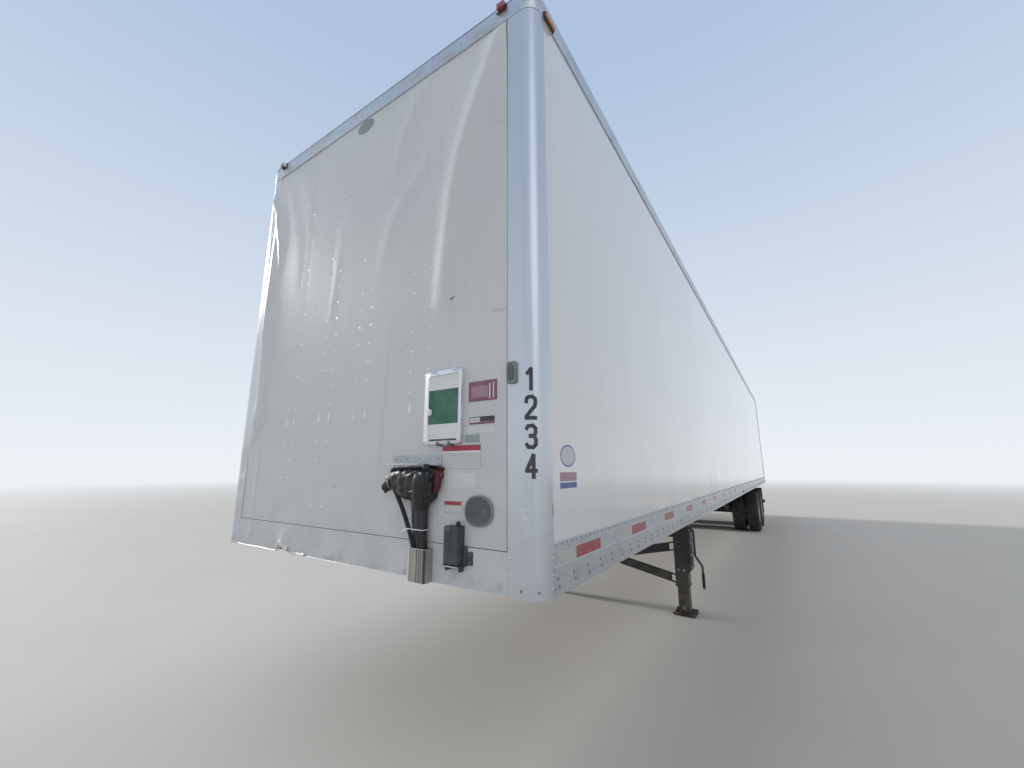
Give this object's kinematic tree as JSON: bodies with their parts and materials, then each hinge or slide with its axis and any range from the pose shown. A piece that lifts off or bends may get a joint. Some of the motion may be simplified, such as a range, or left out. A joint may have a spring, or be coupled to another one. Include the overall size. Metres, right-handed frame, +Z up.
{
  "type": "dry van semi trailer",
  "caption": "Long white box semi trailer with a dented front wall, landing legs, tandem twin wheels, swing rear doors and an underride guard.",
  "frame": {"origin": "on the ground under the middle of the overall box", "axes": "+X to the front of the trailer, +Y to its left side, +Z up"},
  "size_m": [16.2916, 2.627, 4.115],
  "materials": {
    "white_paint": "glossy white coil coat, chalked and scuffed",
    "bare_aluminium": "satin extrusion",
    "galvanised": "dull zinc",
    "hardwood": "worn laminated oak boards",
    "black_steel": "black chassis paint",
    "bare_steel": "greased steel",
    "black_rubber": "matt",
    "tyre": "dusty tread rubber",
    "white_wheel": "white wheel paint",
    "red_lens": "clear red lens",
    "amber_lens": "clear amber lens",
    "holder_metal": "light frame with a blank sheet",
    "grey_plastic": "weathered grey plastic"
  },
  "bodies": {
    "chassis": {"front_wall": "white_paint", "nose_panel": "white_paint", "corner_posts": "bare_aluminium", "bottom_rails": "bare_aluminium", "top_rails": "bare_aluminium", "top_rail_front": "bare_aluminium", "roof_sheet": "bare_aluminium", "roof_bows": "galvanised", "floor_deck": "hardwood", "crossmembers": "galvanised", "upper_coupler": "black_steel", "kingpin": "bare_steel", "rear_frame": "galvanised", "red_lamps": "red_lens", "amber_lamps": "amber_lens", "underride_guard": "black_steel", "landing_legs": "black_steel", "landing_feet": "black_steel", "leg_brace": "black_steel", "landing_drive": "black_steel", "landing_crank": "black_steel", "slider_rails": "black_steel", "bogie_frame": "black_steel", "trailing_arms": "black_steel", "air_springs": "black_rubber", "axles": "black_steel", "brake_chambers": "black_steel", "air_tank": "black_steel", "mudflaps": "black_rubber", "document_box": "holder_metal", "nose_brackets": "bare_aluminium", "connector_box": "black_rubber", "hoses": "black_rubber", "nose_boxes": "grey_plastic", "hinge_butts": "galvanised", "side_wall_left": "white_paint", "side_wall_right": "white_paint"},
    "rear_door_left": {"door_left": "white_paint", "door_hardware_left": "galvanised"},
    "rear_door_right": {"door_right": "white_paint", "door_hardware_right": "galvanised"},
    "wheels_front_left": {"wheel_front_left": "white_wheel", "tyres_front_left": "tyre"},
    "wheels_front_right": {"wheel_front_right": "white_wheel", "tyres_front_right": "tyre"},
    "wheels_rear_left": {"wheel_rear_left": "white_wheel", "tyres_rear_left": "tyre"},
    "wheels_rear_right": {"wheel_rear_right": "white_wheel", "tyres_rear_right": "tyre"}
  },
  "joints": [
    {"name": "rear_door_left", "type": "hinge", "parent": "chassis", "child": "rear_door_left", "pos_m": [-8.10825, 1.2835, 2.6385], "axis": [0, 0, -1], "range_deg": [0, 261]},
    {"name": "rear_door_right", "type": "hinge", "parent": "chassis", "child": "rear_door_right", "pos_m": [-8.10825, -1.2835, 2.6385], "axis": [0, 0, 1], "range_deg": [0, 261]},
    {"name": "wheels_front_left", "type": "hinge", "parent": "chassis", "child": "wheels_front_left", "pos_m": [-3.78725, 0.984, 0.505], "axis": [0, 1, 0], "continuous": true},
    {"name": "wheels_front_right", "type": "hinge", "parent": "chassis", "child": "wheels_front_right", "pos_m": [-3.78725, -0.984, 0.505], "axis": [0, 1, 0], "continuous": true},
    {"name": "wheels_rear_left", "type": "hinge", "parent": "chassis", "child": "wheels_rear_left", "pos_m": [-5.03225, 0.984, 0.505], "axis": [0, 1, 0], "continuous": true},
    {"name": "wheels_rear_right", "type": "hinge", "parent": "chassis", "child": "wheels_rear_right", "pos_m": [-5.03225, -0.984, 0.505], "axis": [0, 1, 0], "continuous": true}
  ]
}
